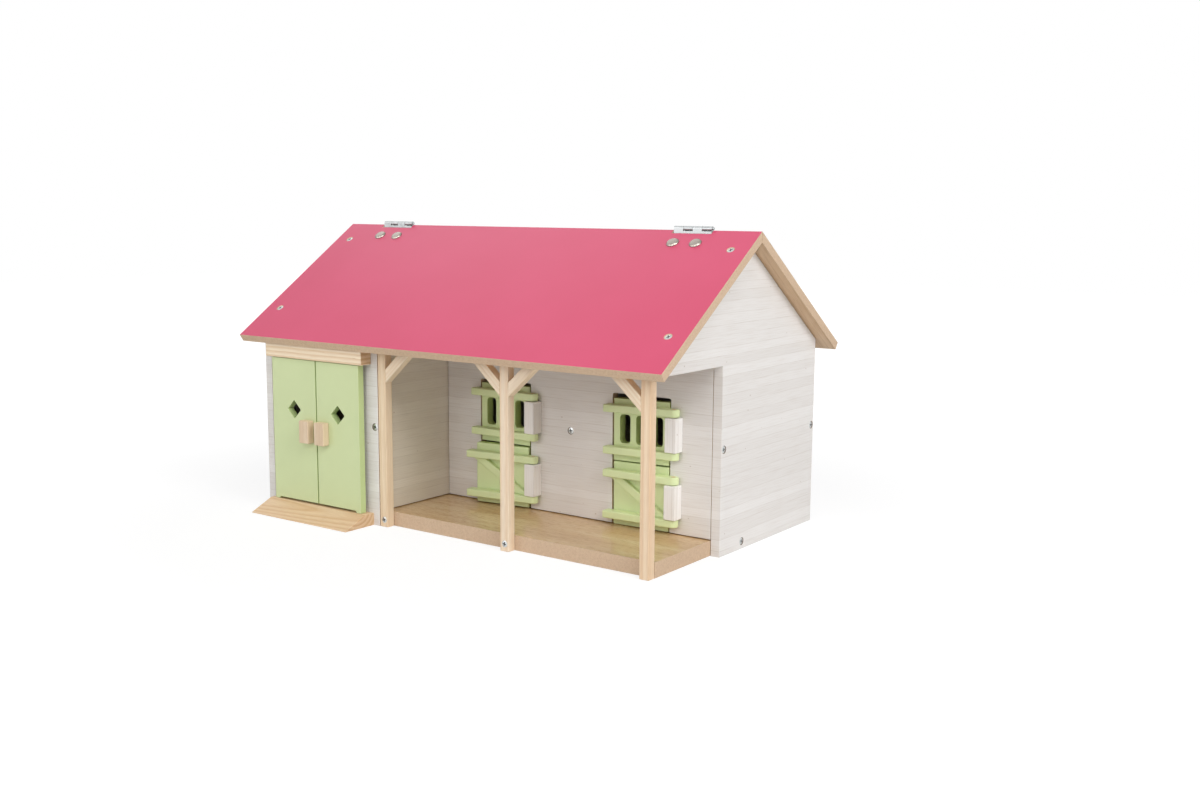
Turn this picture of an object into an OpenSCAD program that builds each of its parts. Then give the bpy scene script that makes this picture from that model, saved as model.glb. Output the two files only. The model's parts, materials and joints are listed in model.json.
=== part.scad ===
// Toy barn: a storage room with two swinging doors on the left, and on the right an open porch
// in front of two stalls with two-part doors. The front roof is fixed and the back roof lifts.
// X runs along the ridge, Y from front to back, Z up from the ground.

/* [Body] */
// Inside length between the two gables
room_len = 464; // [440:1:520]
// Depth of the porch from the front plane to the stall wall
porch_d = 99; // [90:1:110]
// Depth from the front of the stall wall to the back plane
stall_d = 178; // [165:1:220]
// Height of the walls under the eaves
wall_h = 182; // [178:1:220]
// Thickness of the wall and stall door boards
board_t = 9; // [8:0.5:12]
// Thickness of the floor board
floor_t = 14; // [10:0.5:20]
// Inside width of the storage room
storage_w = 142; // [136:1:150]
// Height of the screws that hold the walls together
wall_screw_z = 97; // [80:1:120]

/* [Roof] */
// Slope of both roof panels
roof_slope = 34.7; // [30:0.1:40]
// Thickness of the roof panels
roof_t = 8; // [6:0.5:12]
// How far the roof stands out past each gable
gable_overhang = 14; // [8:1:25]
// How far the roof stands out past the front and back planes
eave_overhang = 21; // [17:0.5:35]
// Gap under the lifting panel where it lies over the walls
lid_gap = 0.5; // [0.3:0.1:1]
// Distance down the slope from the ridge to the upper roof screws
roof_screw_top = 28; // [22:1:50]
// Distance up the slope from the eave to the lower roof screws
roof_screw_low = 46; // [34:1:70]

/* [Roof hinges] */
// Distance from each end of the roof to the middle of its hinge
hinge_inset = 70.5; // [60:0.5:100]
// Length of each hinge
hinge_len = 40; // [32:1:50]
// Radius of the rolled knuckles
knuckle_r = 2.2; // [2:0.1:3]
// Radius of the hinge pin
hinge_pin_r = 1.2; // [1:0.05:1.5]
// How far a hinge pin stands out of the knuckles at its right end
pin_over = 1.5; // [0:0.1:3]
// Thickness of the hinge sheet
hinge_sheet = 1; // [0.8:0.1:1.2]
// Height of the hinge pin above the ridge
hinge_lift = 1.5; // [1:0.1:3]
// Depth of each flange under its panel, measured level
hinge_reach = 20; // [18:0.5:26]
// Half of the slot in the ridge that the hinge stands in
hinge_slot = 4.2; // [3.6:0.1:6]
// Gap at each end of that slot
hinge_slot_end = 0.8; // [0.4:0.1:2]
// Gap between one flange's knuckles and the other flange
knuckle_gap = 0.15; // [0.1:0.05:0.4]
// Distance between the two bolts of a flange
bolt_pitch = 24; // [18:1:26]
// Distance down the slope from the ridge to the bolts
bolt_s = 20; // [18.5:0.5:21]
// Diameter of a bolt's shank
bolt_d = 4; // [3:0.5:5]
// Diameter of a bolt's head
bolt_head_d = 12; // [9:0.5:14]
// Height of a bolt's head
bolt_head_h = 1.8; // [1.4:0.1:2.4]
// How far a bolt stands out of its nut
bolt_over = 1; // [0.5:0.1:3]
// Width of a nut across its corners
nut_w = 8; // [7:0.1:9]
// Height of a nut
nut_h = 3.2; // [2.4:0.1:4]

/* [Porch] */
// Height of the porch beam's front face
beam_h = 10.5; // [8:0.5:14]
// Width of a post
post_w = 9.8; // [7:0.2:12]
// Gap between the storage wall and the first post
post_gap = 0.5; // [0.2:0.1:4]
// How far the last post stands in from the right end of the floor board
post_end_gap = 0.6; // [0.2:0.1:4]
// Height of a brace from its low end to the beam
brace_h = 30.5; // [20:0.5:45]
// Width of a brace
brace_w = 9.8; // [7:0.2:12]
// Slope of a brace
brace_slope = 42; // [38:1:48]

/* [Storage doors] */
// Mean width of the two storage doors
storage_leaf_w = 60.5; // [58:0.5:62]
// How much wider the left door is than that mean, and narrower the right one
storage_split = 1.9; // [0:0.1:3]
// Thickness of a storage door
storage_leaf_t = 7; // [6:0.5:8]
// Gap between the two storage doors
storage_leaf_gap = 1.5; // [1:0.1:3]
// How far each door laps over the wall beside the opening
storage_lap = 8.25; // [5:0.25:12]
// How far the doors reach above the opening
storage_lap_top = 6.6; // [3:0.1:12]
// Gap between a closed door and the wall
door_back_gap = 4.5; // [4:0.1:5]
// How far the lintel stands out past the closed doors
lintel_lip = 2.5; // [1:0.5:4]
// Gap between a door and the ramp
door_foot_gap = 0.3; // [0.2:0.1:1]
// Gap between a door and the lintel
door_head_gap = 0.7; // [0.3:0.1:2]
// How far the lintel and the ramp reach past the doors at each end
lintel_over = 6.25; // [4:0.25:12]
// Gap between the lintel and the roof above it
lintel_roof_gap = 1; // [0.5:0.1:3]
// Depth of the ramp
ramp_d = 38; // [30:1:50]
// Height of the ramp
ramp_h = 12; // [11:0.5:14]
// Depth of the level top of the ramp
ramp_flat = 13; // [12.5:0.5:16]
// Height of the ramp's front edge
ramp_tip = 0.8; // [0.5:0.1:2]
// Width of the foot at each door's outer corner
foot_w = 6; // [6:0.5:9]
// Height of that foot
foot_h = 2; // [1:0.5:3]
// Radius of the steel door pins
door_pin_r = 1.5; // [1:0.1:2]
// Length of a door pin in the door, and in the lintel or ramp
door_pin_len = 7; // [5:0.5:8]
// Side of the diamond window
diamond_s = 13.5; // [10:0.5:18]
// Height of the middle of the diamond window
diamond_z = 106; // [100:1:120]
// Width of a door handle
handle_w = 13; // [10:0.5:16]
// Height of a door handle
handle_h = 22.5; // [16:0.5:26]
// How far a door handle stands out
handle_d = 8; // [5:0.5:12]
// Height of the middle of a door handle
handle_z = 86; // [70:1:86]
// Distance from a handle to the free edge of its door
handle_edge = 3.5; // [3:0.5:8]

/* [Stall doors] */
// Width of a stall doorway
doorway_w = 64; // [58:1:70]
// Gap between an upper leaf and the top of its doorway
leaf_head_gap = 3.5; // [1:0.5:6]
// Radius of the doorway's top corners
doorway_r = 2; // [1:0.5:8]
// Gap at the free edge of a stall door
leaf_free_gap = 1.8; // [1.5:0.1:3]
// Gap at the hinge edge of a stall door
leaf_hinge_gap = 1.2; // [1:0.1:1.5]
// Gap between the floor and the lower leaf
leaf_floor_gap = 1; // [0.5:0.1:2]
// Height of a lower leaf
lower_leaf_h = 60; // [58:0.5:62]
// Gap between the lower and the upper leaf
leaf_split_gap = 1.5; // [1:0.1:2.5]
// Height of an upper leaf
upper_leaf_h = 58; // [57:0.5:58]
// Distance from the bottom of a leaf to its lower batten
batten_low = 6.8; // [5:0.1:7]
// Distance from the top of an upper leaf to its top batten
upper_batten_top = 4.8; // [3:0.1:7]
// Distance from the top of a lower leaf to its top batten
lower_batten_top = 6.8; // [3:0.1:8]
// Height of a batten
batten_h = 7.2; // [6:0.1:8]
// Depth of a batten
batten_d = 10; // [8:0.5:12]
// How far a batten reaches past the free edge of its leaf
batten_over = 6; // [4:0.5:8]
// Gap between a batten and the wall
batten_gap = 0.2; // [0.2:0.1:0.5]
// Distance from the doorway to the hinge dowel
dowel_side = 6.9; // [6.8:0.1:7.5]
// Radius of the hinge dowel
dowel_r = 2; // [1.5:0.1:2.5]
// Width and depth of a hinge block
block_s = 12; // [11:0.5:12]
// Gap between a hinge block and the battens over and under it
block_gap = 0.3; // [0.2:0.1:1]
// Distance from the slot windows to the edges of the leaf
slot_side = 6.8; // [5:0.2:10]
// Distance from the slot windows to the battens
slot_margin = 2.5; // [1:0.5:5]
// Bar between two slot windows
slot_bar = 6.3; // [5:0.1:7]
// Radius of a slot window's corners
slot_r = 3.4; // [1:0.1:4]
// Width of the slanted strip on a lower leaf
strip_w = 7.4; // [6:0.2:9]
// Thickness of the slanted strip
strip_t = 4.5; // [3:0.5:4.8]
// Slope of the slanted strip
strip_slope = 32; // [28:1:36]
// How far the left lower leaf stands open at rest
ajar_angle = 7; // [0:1:20]

/* [Fasteners and fits] */
// Radius of a screw's head
screw_head_r = 3.6; // [2.5:0.1:4]
// Radius of a screw's shank
screw_r = 1.6; // [1:0.1:2]
// Length of a screw
screw_len = 25; // [18:1:30]
// Width of the cross in a screw's head
cross_w = 4.6; // [3:0.2:5]
// Thickness of each arm of the cross
cross_t = 1; // [0.6:0.1:1.4]
// Depth of the cross
cross_deep = 1.2; // [0.6:0.1:1.6]
// Radial gap round a pin that turns in its hole
running_fit = 0.06; // [0.03:0.01:0.1]
// Radial gap round a pin, screw or bolt that stays still
still_fit = 0.03; // [0.01:0.01:0.05]

/* [Hidden] */
$fn = 48;

cut = 1;
pink = "#DC6888";
white_board = "#E2DEDA";
green = "#C3D09C";
pine = "#E8CFAC";
beech = "#C2A67A";
zinc = "#C9CAC8";
nickel = "#CFC8BE";
dowel_wood = "#C08A5A";

body_d = porch_d + stall_d;

// Roof heights: tops, undersides and the fall of the slope
fall = tan(roof_slope);
roof_depth = roof_t / cos(roof_slope);
ridge_under = wall_h + body_d / 2 * fall;
ridge_top = ridge_under + roof_depth;
roof_reach = body_d / 2 + eave_overhang;
panel_len = roof_reach / cos(roof_slope);
roof_len = room_len + 2 * board_t + 2 * gable_overhang;
hinge_x = roof_len / 2 - hinge_inset;
mitre = roof_t * fall;
lid_drop = lid_gap / cos(roof_slope);

// Planes across the depth, with the middle of the whole barn at zero
ridge_y = (ramp_d + body_d / 2 - roof_reach) / 2;
front_y = ridge_y - body_d / 2;
back_y = ridge_y + body_d / 2;
floor_front_y = front_y + board_t;
floor_back_y = back_y - board_t;
stall_y = front_y + porch_d;

// Planes along the length
room_x = room_len / 2;
gable_x = room_x + board_t / 2;
partition_x = -room_x + storage_w;
partition_right = partition_x + board_t;
bay_w = (room_x - partition_right - board_t) / 2;
divider_x = partition_right + bay_w;
bay_left_x = partition_right + bay_w / 2;
bay_right_x = room_x - bay_w / 2;
storage_x = (-room_x + partition_right) / 2;

// Porch frame
post_left_x = partition_right + post_gap;
post_right_x = room_x - post_end_gap - post_w;
post_middle_x = divider_x + (board_t - post_w) / 2;
porch_h = wall_h - beam_h;
brace_z = porch_h - brace_h;
brace_cut = brace_w / cos(brace_slope);
brace_run = tan(brace_slope);

// Storage doors
pair_w = storage_leaf_gap + 2 * storage_leaf_w;
lintel_len = pair_w + 2 * lintel_over;
lintel_s = door_back_gap + storage_leaf_t + lintel_lip;
door_y = front_y - door_back_gap - storage_leaf_t / 2;
door_front_y = door_y - storage_leaf_t / 2;
lintel_z = ridge_under - (body_d / 2 + lintel_s) * fall - lintel_roof_gap - lintel_s;
door_bottom = ramp_h + door_foot_gap;
door_top = lintel_z - door_head_gap;
door_axis = pair_w / 2 - storage_leaf_t / 2;
storage_opening_w = pair_w - 2 * storage_lap;
storage_opening_h = door_top - storage_lap_top;

// Stall doors
leaf_w = doorway_w - leaf_free_gap - leaf_hinge_gap;
lower_leaf_z = floor_t + leaf_floor_gap;
upper_leaf_z = lower_leaf_z + lower_leaf_h + leaf_split_gap;
dowel_y = stall_y - batten_gap - batten_d / 2;
leaf_y = stall_y - batten_gap;
doorway_h = upper_leaf_z + upper_leaf_h + leaf_head_gap;
upper_pitch = upper_leaf_h - batten_low - batten_h - upper_batten_top;
lower_pitch = lower_leaf_h - batten_low - batten_h - lower_batten_top;
upper_up = batten_low + upper_pitch;
lower_up = batten_low + lower_pitch;
slot_w = (leaf_w - 2 * slot_side - 2 * slot_bar) / 3;
slot_h = upper_pitch - batten_h - 2 * slot_margin;

// Roof hinges
hinge_z = ridge_top + hinge_lift;
knuckle_len = hinge_len / 4;
knuckle_cut = knuckle_r + 2 * knuckle_gap;
bolt_len = roof_t + hinge_sheet + nut_h + bolt_over;
countersink = screw_head_r - screw_r;

// Height of the roof's underside at a distance from the ridge
function under(d) = ridge_under - abs(d) * fall;
// The same over the walls that the lifting panel covers
function lid_under(d) = under(d) - lid_drop;

// Draws an outline of Y and Z and pulls it along X
module along_x(x, len) {
    translate([x, 0, 0]) rotate([90, 0, 90]) linear_extrude(len) children();
}

// Draws an outline of X and Z and pulls it along Y
module along_y(y, len) {
    translate([0, y + len, 0]) rotate([90, 0, 0]) linear_extrude(len) children();
}

// A rectangle about its middle with round corners
module soft_rect(w, h, r) {
    square([w, h - 2 * r], center = true);
    square([w - 2 * r, h], center = true);
    for (x = [-1, 1], y = [-1, 1]) translate([x * (w / 2 - r), y * (h / 2 - r)]) circle(r);
}

// Moves things to the roof's top faces: Y down the slope from the ridge, Z out of the panel
module on_front_roof() {
    translate([0, ridge_y, ridge_top]) rotate([roof_slope, 0, 0]) children();
}

module on_back_roof() {
    translate([0, ridge_y, ridge_top]) rotate([-roof_slope, 0, 0]) children();
}

// Countersunk screw that points down, its head level with zero
module screw_shape(gap = 0) {
    translate([0, 0, -screw_len - gap]) cylinder(r = screw_r + gap, h = screw_len + gap);
    translate([0, 0, -countersink]) cylinder(r1 = screw_r + gap, r2 = screw_head_r + gap, h = countersink);
    if (gap > 0) cylinder(r = screw_head_r + gap, h = cut);
}

module screw() {
    difference() {
        screw_shape();
        for (turn = [0, 90]) rotate([0, 0, turn])
            translate([-cross_w / 2, -cross_t / 2, -cross_deep]) cube([cross_w, cross_t, cross_deep + cut]);
    }
}

// Places of each set of screws
module at_roof_screws() {
    on_front_roof()
        for (x = [-gable_x, gable_x], s = [roof_screw_top, panel_len - roof_screw_low])
            translate([x, -s, 0]) children();
}

module at_gable_screws() {
    for (side = [-1, 1], spot = [[ridge_y, floor_t / 2], [back_y - board_t / 2, wall_screw_z],
            [side < 0 ? front_y + board_t / 2 : stall_y + board_t / 2, wall_screw_z]])
        translate([side * (room_x + board_t), spot[0], spot[1]]) rotate([0, side * 90, 0]) children();
}

module at_wall_screws() {
    for (spot = [[partition_x + board_t / 2, front_y], [divider_x + board_t / 2, stall_y]])
        translate([spot[0], spot[1], wall_screw_z]) rotate([90, 0, 0]) children();
    for (x = [partition_x + board_t / 2, divider_x + board_t / 2])
        translate([x, back_y, wall_screw_z]) rotate([-90, 0, 0]) children();
}

module at_post_screws() {
    for (x = [post_left_x, post_middle_x])
        translate([x + post_w / 2, front_y, floor_t / 2]) rotate([90, 0, 0]) children();
}

module all_screw_holes() {
    at_roof_screws() screw_shape(still_fit);
    at_gable_screws() screw_shape(still_fit);
    at_wall_screws() screw_shape(still_fit);
    at_post_screws() screw_shape(still_fit);
}

// Fixed boards
module floor_board() {
    color(beech) difference() {
        translate([-room_x, floor_front_y, 0]) cube([room_len, floor_back_y - floor_front_y, floor_t]);
        at_gable_screws() screw_shape(still_fit);
        at_post_screws() screw_shape(still_fit);
    }
}

module gable(x, front) {
    difference() {
        along_x(x, board_t) polygon(concat(front, [[back_y, 0], [back_y, lid_under(body_d / 2)],
            [ridge_y, lid_under(0)], [ridge_y, under(0)], [front_y, under(body_d / 2)]]));
        at_roof_screws() screw_shape(still_fit);
        at_gable_screws() screw_shape(still_fit);
    }
}

module gable_left() {
    color(white_board) gable(-room_x - board_t, [[front_y, 0]]);
}

// The right gable leaves the porch open to the side
module gable_right() {
    color(white_board) gable(room_x, [[front_y, porch_h], [stall_y, porch_h], [stall_y, 0]]);
}

// A board between two X planes, standing from z to the roof, at a depth y
module cross_wall(x, len, y, z) {
    near = y - ridge_y;
    drop = near > 0 ? lid_drop : 0;
    along_x(x, len) polygon([[y, z], [y + board_t, z], [y + board_t, under(near + board_t) - drop],
        [y, under(near) - drop]]);
}

module storage_wall() {
    color(white_board) difference() {
        cross_wall(-room_x, storage_w + board_t, front_y, 0);
        translate([storage_x - storage_opening_w / 2, front_y - cut, floor_t])
            cube([storage_opening_w, board_t + 2 * cut, storage_opening_h - floor_t]);
        at_gable_screws() screw_shape(still_fit);
        at_wall_screws() screw_shape(still_fit);
    }
}

module stall_wall() {
    color(white_board) difference() {
        cross_wall(partition_right, room_x - partition_right, stall_y, floor_t);
        for (x = [bay_left_x, bay_right_x]) translate([x, 0, 0]) along_y(stall_y - cut, board_t + 2 * cut) {
            translate([0, doorway_h / 2]) soft_rect(doorway_w, doorway_h, doorway_r);
        }
        at_gable_screws() screw_shape(still_fit);
        at_wall_screws() screw_shape(still_fit);
    }
}

module back_wall() {
    color(white_board) difference() {
        cross_wall(-room_x, room_len, floor_back_y, 0);
        at_gable_screws() screw_shape(still_fit);
        at_wall_screws() screw_shape(still_fit);
    }
}

// A board that runs from front to back under the ridge
module length_wall(x, y) {
    difference() {
        along_x(x, board_t) polygon([[y, floor_t], [floor_back_y, floor_t],
            [floor_back_y, lid_under(floor_back_y - ridge_y)], [ridge_y, lid_under(0)],
            [ridge_y, under(0)], [y, under(y - ridge_y)]]);
        at_wall_screws() screw_shape(still_fit);
    }
}

module partition_wall() {
    color(white_board) length_wall(partition_x, floor_front_y);
}

module stall_divider() {
    color(white_board) length_wall(divider_x, stall_y + board_t);
}

// Porch frame
module porch_beam() {
    color(pine) cross_wall(partition_right, room_x - partition_right, front_y, porch_h);
}

module post(x) {
    color(pine) difference() {
        translate([x, front_y, 0]) cube([post_w, board_t, porch_h]);
        at_post_screws() screw_shape(still_fit);
    }
}

// A slanted brace from a post's side at x up to the beam; way is 1 to the right, -1 to the left
module brace(x, way) {
    color(pine) translate([x, 0, 0]) along_y(front_y, board_t) polygon([[0, brace_z],
        [0, brace_z + brace_cut], [way * (brace_h - brace_cut) / brace_run, porch_h],
        [way * brace_h / brace_run, porch_h]]);
}

// Lintel and ramp carry the pins that the storage doors turn on
module at_door_pins() {
    for (side = [-1, 1]) translate([storage_x + side * door_axis, door_y, 0]) children();
}

module door_pin_shape(gap = 0) {
    translate([0, 0, ramp_h - door_pin_len - gap])
        cylinder(r = door_pin_r + gap, h = 2 * door_pin_len + door_foot_gap + 2 * gap);
    translate([0, 0, door_top - door_pin_len - gap])
        cylinder(r = door_pin_r + gap, h = 2 * door_pin_len + door_head_gap + 2 * gap);
}

module lintel() {
    color(pine) difference() {
        translate([storage_x - lintel_len / 2, front_y - lintel_s, lintel_z])
            cube([lintel_len, lintel_s, lintel_s]);
        at_door_pins() door_pin_shape(still_fit);
    }
}

module ramp() {
    color(pine) difference() {
        along_x(storage_x - lintel_len / 2, lintel_len) polygon([[front_y, 0], [front_y, ramp_h],
            [front_y - ramp_flat, ramp_h], [front_y - ramp_d, ramp_tip], [front_y - ramp_d, 0]]);
        at_door_pins() door_pin_shape(still_fit);
    }
}

module storage_door_pins() {
    color(zinc) at_door_pins() door_pin_shape();
}

// Storage doors; side is -1 for the left door and 1 for the right one
module storage_side(side) {
    translate([storage_x + storage_split, 0, 0]) mirror([side < 0 ? 1 : 0, 0, 0])
        translate([storage_leaf_gap / 2, 0, 0]) children();
}

module storage_door(side) {
    width = storage_leaf_w - side * storage_split;
    height = door_top - door_bottom;
    foot_x = width - foot_w - foot_h;
    color(green) difference() {
        storage_side(side) along_y(door_front_y, storage_leaf_t) difference() {
            translate([0, door_bottom]) square([width, height]);
            translate([-cut, door_bottom - cut]) square([foot_x + cut, foot_h + cut]);
            translate([foot_x, door_bottom]) circle(foot_h);
            translate([width / 2, diamond_z]) rotate(45) soft_rect(diamond_s, diamond_s, 1);
        }
        at_door_pins() door_pin_shape(running_fit);
    }
}

module storage_handle(side) {
    color(pine) storage_side(side)
        translate([handle_edge, door_front_y - handle_d, handle_z - handle_h / 2])
            cube([handle_w, handle_d, handle_h]);
}

// Stall doors: things are drawn round their hinge dowel at the bottom of the leaf
module at_leaf(bay_x, leaf_z, turn = 0) {
    translate([bay_x + doorway_w / 2 + dowel_side, dowel_y, leaf_z]) rotate([0, 0, turn]) children();
}

leaf_right = -dowel_side - leaf_hinge_gap;
leaf_front = leaf_y - dowel_y;

module leaf_board(h) {
    translate([leaf_right - leaf_w, leaf_front, 0]) cube([leaf_w, board_t, h]);
}

module upper_leaf(bay_x, turn = 0) {
    color(green) at_leaf(bay_x, upper_leaf_z, turn) difference() {
        leaf_board(upper_leaf_h);
        for (i = [-1, 0, 1]) translate([leaf_right - leaf_w / 2 + i * (slot_w + slot_bar), 0, 0])
            along_y(leaf_front - cut, board_t + 2 * cut)
                translate([0, batten_low + (upper_pitch + batten_h) / 2]) soft_rect(slot_w, slot_h, slot_r);
    }
}

module lower_leaf(bay_x, turn = 0) {
    color(green) at_leaf(bay_x, lower_leaf_z, turn) leaf_board(lower_leaf_h);
}

// A batten at a height up its leaf, with a round end about the dowel
module batten(bay_x, leaf_z, up = batten_low, turn = 0) {
    reach = -leaf_right + leaf_w + batten_over;
    color(green) at_leaf(bay_x, leaf_z + up, turn) difference() {
        linear_extrude(batten_h) {
            translate([-reach, -batten_d / 2]) square([reach, batten_d]);
            circle(batten_d / 2);
        }
        translate([0, 0, -cut]) cylinder(r = dowel_r + running_fit, h = batten_h + 2 * cut);
    }
}

// The strip slants down towards the hinge, and stops where it clears the hinge block
module leaf_strip(bay_x, turn = 0) {
    low = batten_low + batten_h;
    span = lower_pitch - batten_h;
    color(green) at_leaf(bay_x, lower_leaf_z, turn) along_y(leaf_front - strip_t, strip_t) intersection() {
        translate([leaf_right - leaf_w, low]) square([leaf_w - leaf_hinge_gap, span]);
        translate([leaf_right - leaf_w / 2, low + span / 2]) rotate(-strip_slope)
            square([2 * leaf_w, strip_w], center = true);
    }
}

module hinge_block(bay_x, leaf_z, pitch) {
    height = pitch - batten_h - 2 * block_gap;
    color(white_board) at_leaf(bay_x, leaf_z + batten_low + batten_h + block_gap) difference() {
        translate([-block_s / 2, stall_y - dowel_y - block_s, 0]) cube([block_s, block_s, height]);
        translate([0, 0, -cut]) cylinder(r = dowel_r + still_fit, h = height + 2 * cut);
    }
}

module hinge_dowels() {
    color(dowel_wood) for (bay_x = [bay_left_x, bay_right_x],
            row = [[lower_leaf_z, lower_pitch], [upper_leaf_z, upper_pitch]])
        at_leaf(bay_x, row[0] + batten_low) cylinder(r = dowel_r, h = row[1] + batten_h);
}

// Roof hinge: side is -1 for the front flange and 1 for the back one
module hinge_outline(side) {
    polygon([for (p = [[knuckle_r, hinge_z], [knuckle_r - hinge_sheet, hinge_z],
            [knuckle_r - hinge_sheet, under(knuckle_r - hinge_sheet) - hinge_sheet / cos(roof_slope)],
            [hinge_reach, under(hinge_reach) - hinge_sheet / cos(roof_slope)],
            [hinge_reach, under(hinge_reach)], [knuckle_r, under(knuckle_r)]])
        [ridge_y + side * p[0], p[1]]]);
}

module hinge_flange(x, side) {
    first = side < 0 ? 0 : 1;
    color(zinc) difference() {
        union() {
            along_x(x - hinge_len / 2, hinge_len) hinge_outline(side);
            for (i = [first, first + 2]) translate([x - hinge_len / 2 + i * knuckle_len, ridge_y, hinge_z])
                rotate([0, 90, 0]) cylinder(r = knuckle_r, h = knuckle_len);
        }
        for (i = [1 - first, 3 - first]) translate([x - hinge_len / 2 + i * knuckle_len - knuckle_gap,
                ridge_y - knuckle_cut, hinge_z - knuckle_cut])
            cube([knuckle_len + 2 * knuckle_gap, 2 * knuckle_cut, 2 * knuckle_cut]);
        translate([x - hinge_len / 2 - cut, ridge_y, hinge_z]) rotate([0, 90, 0])
            cylinder(r = hinge_pin_r + (side < 0 ? still_fit : running_fit), h = hinge_len + 2 * cut);
        at_bolts(side) bolt_shape(still_fit);
    }
}

module hinge_pins() {
    color(zinc) for (x = [-hinge_x, hinge_x]) translate([x - hinge_len / 2, ridge_y, hinge_z])
        rotate([0, 90, 0]) cylinder(r = hinge_pin_r, h = hinge_len + pin_over);
}

module at_bolts(side) {
    for (x = [-hinge_x, hinge_x], half = [-0.5, 0.5]) {
        if (side < 0) on_front_roof() translate([x + half * bolt_pitch, -bolt_s, 0]) children();
        else on_back_roof() translate([x + half * bolt_pitch, bolt_s, 0]) children();
    }
}

module bolt_shape(gap = 0) {
    translate([0, 0, -bolt_len - gap]) cylinder(r = bolt_d / 2 + gap, h = bolt_len + 2 * gap);
}

// Low domed head with a bevelled rim
module bolts(side) {
    edge = bolt_head_d / 2;
    rim = bolt_head_h / 2;
    color(nickel) at_bolts(side) {
        bolt_shape();
        rotate_extrude() polygon([[0, 0], [edge, 0], [edge, rim / 2],
            [edge - rim, bolt_head_h - rim / 3], [edge / 2, bolt_head_h], [0, bolt_head_h]]);
    }
}

module nuts(side) {
    color(zinc) at_bolts(side) difference() {
        translate([0, 0, -roof_t - hinge_sheet - nut_h]) cylinder(r = nut_w / 2, h = nut_h, $fn = 6);
        bolt_shape(still_fit);
    }
}

// Roof panels meet in a mitre, with a slot for each hinge
module hinge_slots() {
    for (x = [-hinge_x, hinge_x])
        translate([x - hinge_len / 2 - hinge_slot_end, ridge_y - hinge_slot, ridge_under - roof_t])
            cube([hinge_len + 2 * hinge_slot_end, 2 * hinge_slot, 3 * roof_t]);
}

module roof_front() {
    color(pink) difference() {
        on_front_roof() along_x(-roof_len / 2, roof_len)
            polygon([[-panel_len, 0], [0, 0], [-mitre, -roof_t], [-panel_len, -roof_t]]);
        hinge_slots();
        at_bolts(-1) bolt_shape(still_fit);
        at_roof_screws() screw_shape(still_fit);
    }
}

module roof_back() {
    color(pink) difference() {
        on_back_roof() along_x(-roof_len / 2, roof_len)
            polygon([[lid_gap, 0], [panel_len, 0], [panel_len, -roof_t], [mitre + lid_gap, -roof_t]]);
        hinge_slots();
        at_bolts(1) bolt_shape(still_fit);
    }
}

// Screw sets
module roof_screws() { color(zinc) at_roof_screws() screw(); }
module gable_screws() { color(zinc) at_gable_screws() screw(); }
module wall_screws() { color(zinc) at_wall_screws() screw(); }
module post_screws() { color(zinc) at_post_screws() screw(); }

floor_board();
gable_left();
gable_right();
storage_wall();
partition_wall();
stall_wall();
stall_divider();
back_wall();
porch_beam();
post(post_left_x);  // post_left
post(post_middle_x);  // post_middle
post(post_right_x);  // post_right
brace(post_left_x + post_w, 1);  // brace_left
brace(post_middle_x, -1);  // brace_middle_left
brace(post_middle_x + post_w, 1);  // brace_middle_right
brace(post_right_x, -1);  // brace_right
lintel();
ramp();
roof_front();
roof_back();
storage_door(-1);  // storage_door_left
storage_door(1);  // storage_door_right
storage_handle(-1);  // storage_handle_left
storage_handle(1);  // storage_handle_right
storage_door_pins();
upper_leaf(bay_left_x);  // left_upper_leaf
batten(bay_left_x, upper_leaf_z);  // left_upper_batten_low
batten(bay_left_x, upper_leaf_z, upper_up);  // left_upper_batten_top
hinge_block(bay_left_x, upper_leaf_z, upper_pitch);  // left_upper_block
lower_leaf(bay_left_x, ajar_angle);  // left_lower_leaf
batten(bay_left_x, lower_leaf_z, turn = ajar_angle);  // left_lower_batten_low
batten(bay_left_x, lower_leaf_z, lower_up, ajar_angle);  // left_lower_batten_top
leaf_strip(bay_left_x, ajar_angle);  // left_lower_strip
hinge_block(bay_left_x, lower_leaf_z, lower_pitch);  // left_lower_block
upper_leaf(bay_right_x);  // right_upper_leaf
batten(bay_right_x, upper_leaf_z);  // right_upper_batten_low
batten(bay_right_x, upper_leaf_z, upper_up);  // right_upper_batten_top
hinge_block(bay_right_x, upper_leaf_z, upper_pitch);  // right_upper_block
lower_leaf(bay_right_x);  // right_lower_leaf
batten(bay_right_x, lower_leaf_z);  // right_lower_batten_low
batten(bay_right_x, lower_leaf_z, lower_up);  // right_lower_batten_top
leaf_strip(bay_right_x);  // right_lower_strip
hinge_block(bay_right_x, lower_leaf_z, lower_pitch);  // right_lower_block
hinge_dowels();
hinge_flange(-hinge_x, -1);  // hinge_left_front
hinge_flange(-hinge_x, 1);  // hinge_left_back
hinge_flange(hinge_x, -1);  // hinge_right_front
hinge_flange(hinge_x, 1);  // hinge_right_back
hinge_pins();
bolts(-1);  // bolts_front
bolts(1);  // bolts_back
nuts(-1);  // nuts_front
nuts(1);  // nuts_back
roof_screws();
gable_screws();
wall_screws();
post_screws();
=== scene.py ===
# Toy barn with opening doors: finishes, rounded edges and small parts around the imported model
import json
import math
import random

import bmesh
import bpy
from mathutils import Matrix, Vector


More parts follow.
